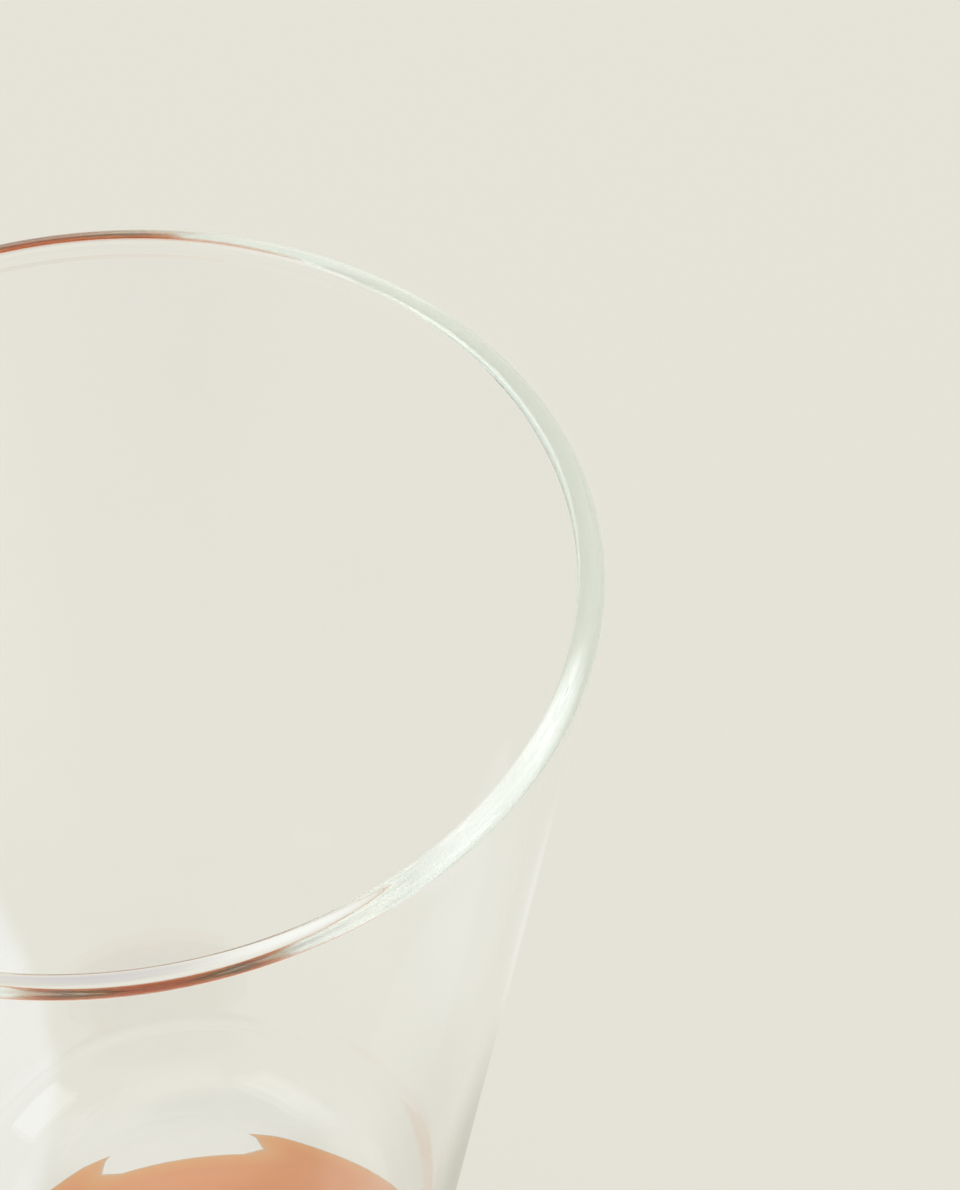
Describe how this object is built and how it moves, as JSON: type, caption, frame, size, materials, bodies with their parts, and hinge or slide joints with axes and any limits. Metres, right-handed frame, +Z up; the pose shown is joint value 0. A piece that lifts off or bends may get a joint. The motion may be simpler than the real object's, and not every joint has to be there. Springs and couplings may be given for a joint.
{
  "type": "stemmed glass",
  "caption": "Short-stemmed drinking glass: a clear tapered bowl with a rounded rim bead, on an amber glass stem and a wide flared foot.",
  "frame": {"origin": "on the axis of the glass, at the level of the surface it stands on", "axes": "+Z up along the axis from foot to rim; X and Y are free, because the glass is a body of revolution"},
  "size_m": [0.084, 0.084, 0.123],
  "materials": {
    "clear_glass": "fire-polished clear glass with a faint cool tint on long paths",
    "amber_glass": "fire-polished amber glass, coloured through"
  },
  "bodies": {
    "root": {"bowl": "clear_glass", "stem": "amber_glass", "foot": "amber_glass"}
  },
  "joints": []
}
